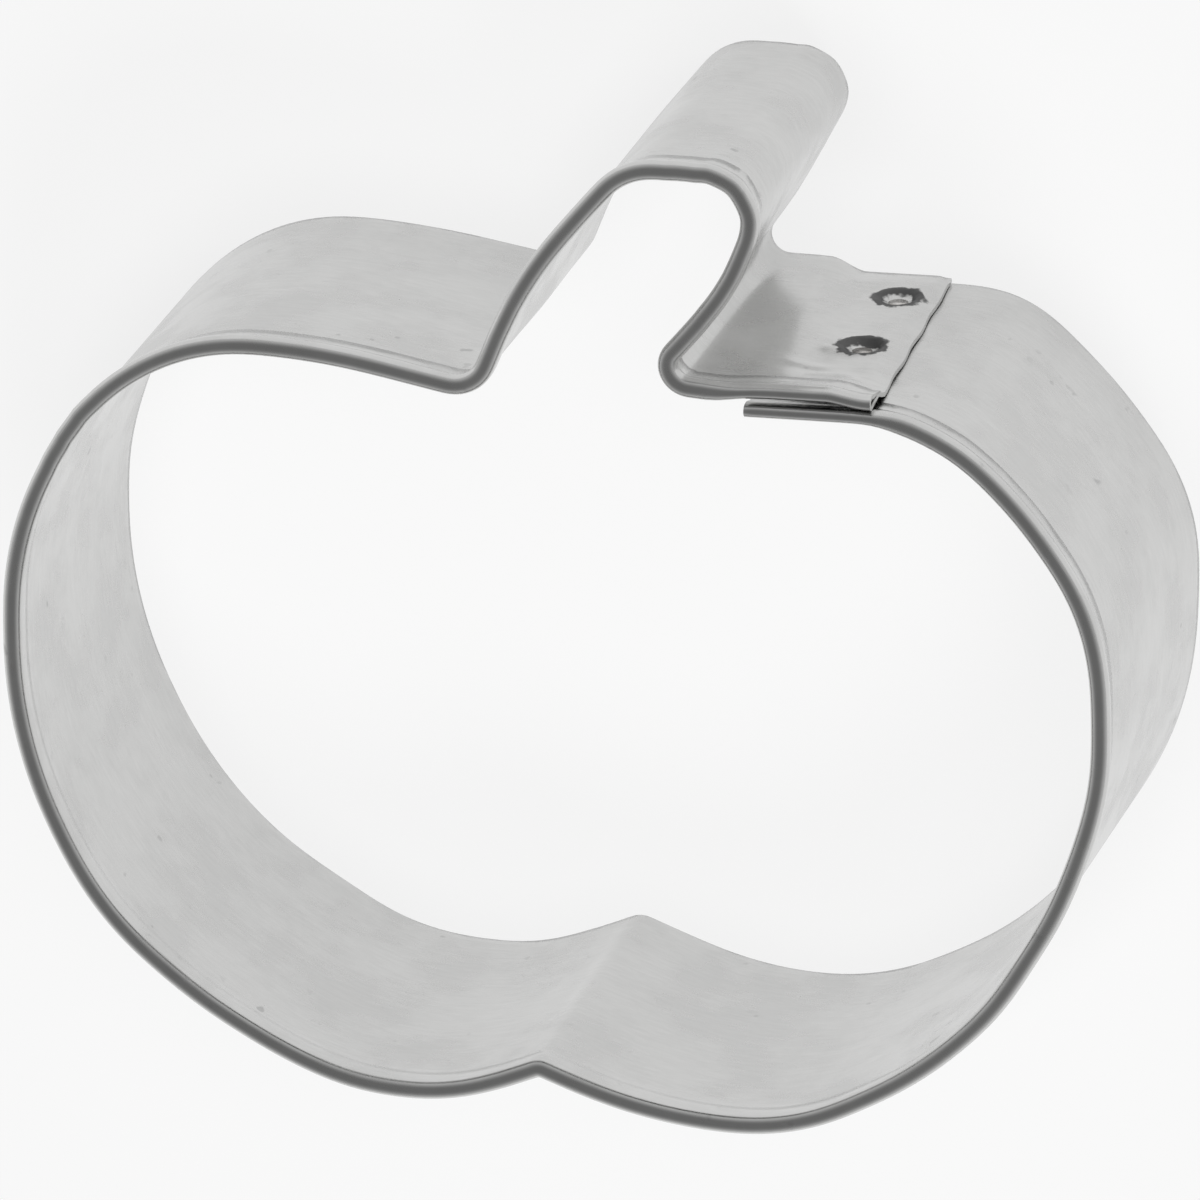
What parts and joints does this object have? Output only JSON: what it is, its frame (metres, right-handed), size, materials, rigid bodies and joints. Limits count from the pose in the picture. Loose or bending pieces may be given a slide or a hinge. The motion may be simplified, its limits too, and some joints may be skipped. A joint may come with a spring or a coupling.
{
  "type": "cookie cutter",
  "caption": "Pumpkin-shaped cookie cutter: a thin metal strip with a rolled rim, its ends lapped and spot-welded beside the leaning stem.",
  "frame": {"origin": "middle of the outline's bounding box, on the plane of the cutting edge", "axes": "+Z from the cutting edge up to the rolled rim, +Y from the notch between the lobes to the stem, +X across the lobes towards the lapped seam"},
  "size_m": [0.0764, 0.069, 0.0254],
  "materials": {
    "tinned_sheet": "bright tinned sheet, satin, with faint forming marks",
    "weld_metal": "dull grey, darkened by heat"
  },
  "bodies": {
    "root": {"cutter_band": "tinned_sheet", "upper_spot_weld": "weld_metal", "lower_spot_weld": "weld_metal"}
  },
  "joints": []
}
